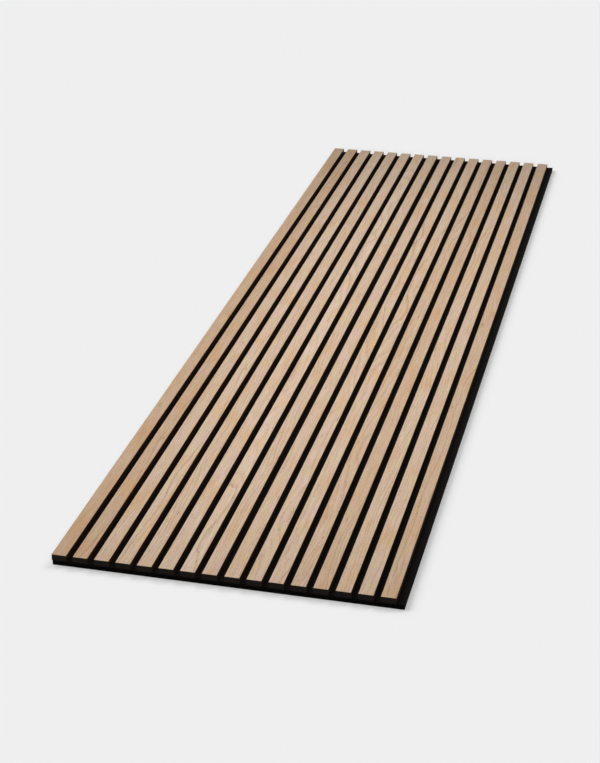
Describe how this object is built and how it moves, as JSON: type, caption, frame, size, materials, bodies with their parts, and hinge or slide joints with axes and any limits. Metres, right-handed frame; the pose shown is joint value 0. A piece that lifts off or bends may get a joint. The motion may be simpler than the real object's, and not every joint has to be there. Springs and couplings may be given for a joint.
{
  "type": "acoustic slat wall panel",
  "caption": "Long flat wall panel of parallel wood-faced slats on a black felt sheet, with open gaps that let sound into the felt.",
  "frame": {"origin": "bottom centre of the whole panel, on the back face of the felt that lies on the wall", "axes": "+X across the slats towards the edge where the felt reaches past the last slat, +Y along the slats towards the end where it reaches past them, +Z out of the slats' faces into the room"},
  "size_m": [0.6432, 2.409, 0.021],
  "materials": {
    "oak_veneer": "matt lacquered pale oak veneer",
    "black_mdf": "matt black, dyed through",
    "black_felt": "needled polyester felt board",
    "staple_steel": "galvanised flat wire"
  },
  "bodies": {
    "root": {"felt_backing": "black_felt", "slat_core_01": "black_mdf", "slat_core_02": "black_mdf", "slat_core_03": "black_mdf", "slat_core_04": "black_mdf", "slat_core_05": "black_mdf", "slat_core_06": "black_mdf", "slat_core_07": "black_mdf", "slat_core_08": "black_mdf", "slat_core_09": "black_mdf", "slat_core_10": "black_mdf", "slat_core_11": "black_mdf", "slat_core_12": "black_mdf", "slat_core_13": "black_mdf", "slat_core_14": "black_mdf", "slat_core_15": "black_mdf", "slat_core_16": "black_mdf", "veneer_face_01": "oak_veneer", "veneer_face_02": "oak_veneer", "veneer_face_03": "oak_veneer", "veneer_face_04": "oak_veneer", "veneer_face_05": "oak_veneer", "veneer_face_06": "oak_veneer", "veneer_face_07": "oak_veneer", "veneer_face_08": "oak_veneer", "veneer_face_09": "oak_veneer", "veneer_face_10": "oak_veneer", "veneer_face_11": "oak_veneer", "veneer_face_12": "oak_veneer", "veneer_face_13": "oak_veneer", "veneer_face_14": "oak_veneer", "veneer_face_15": "oak_veneer", "veneer_face_16": "oak_veneer", "staples": "staple_steel"}
  },
  "joints": []
}
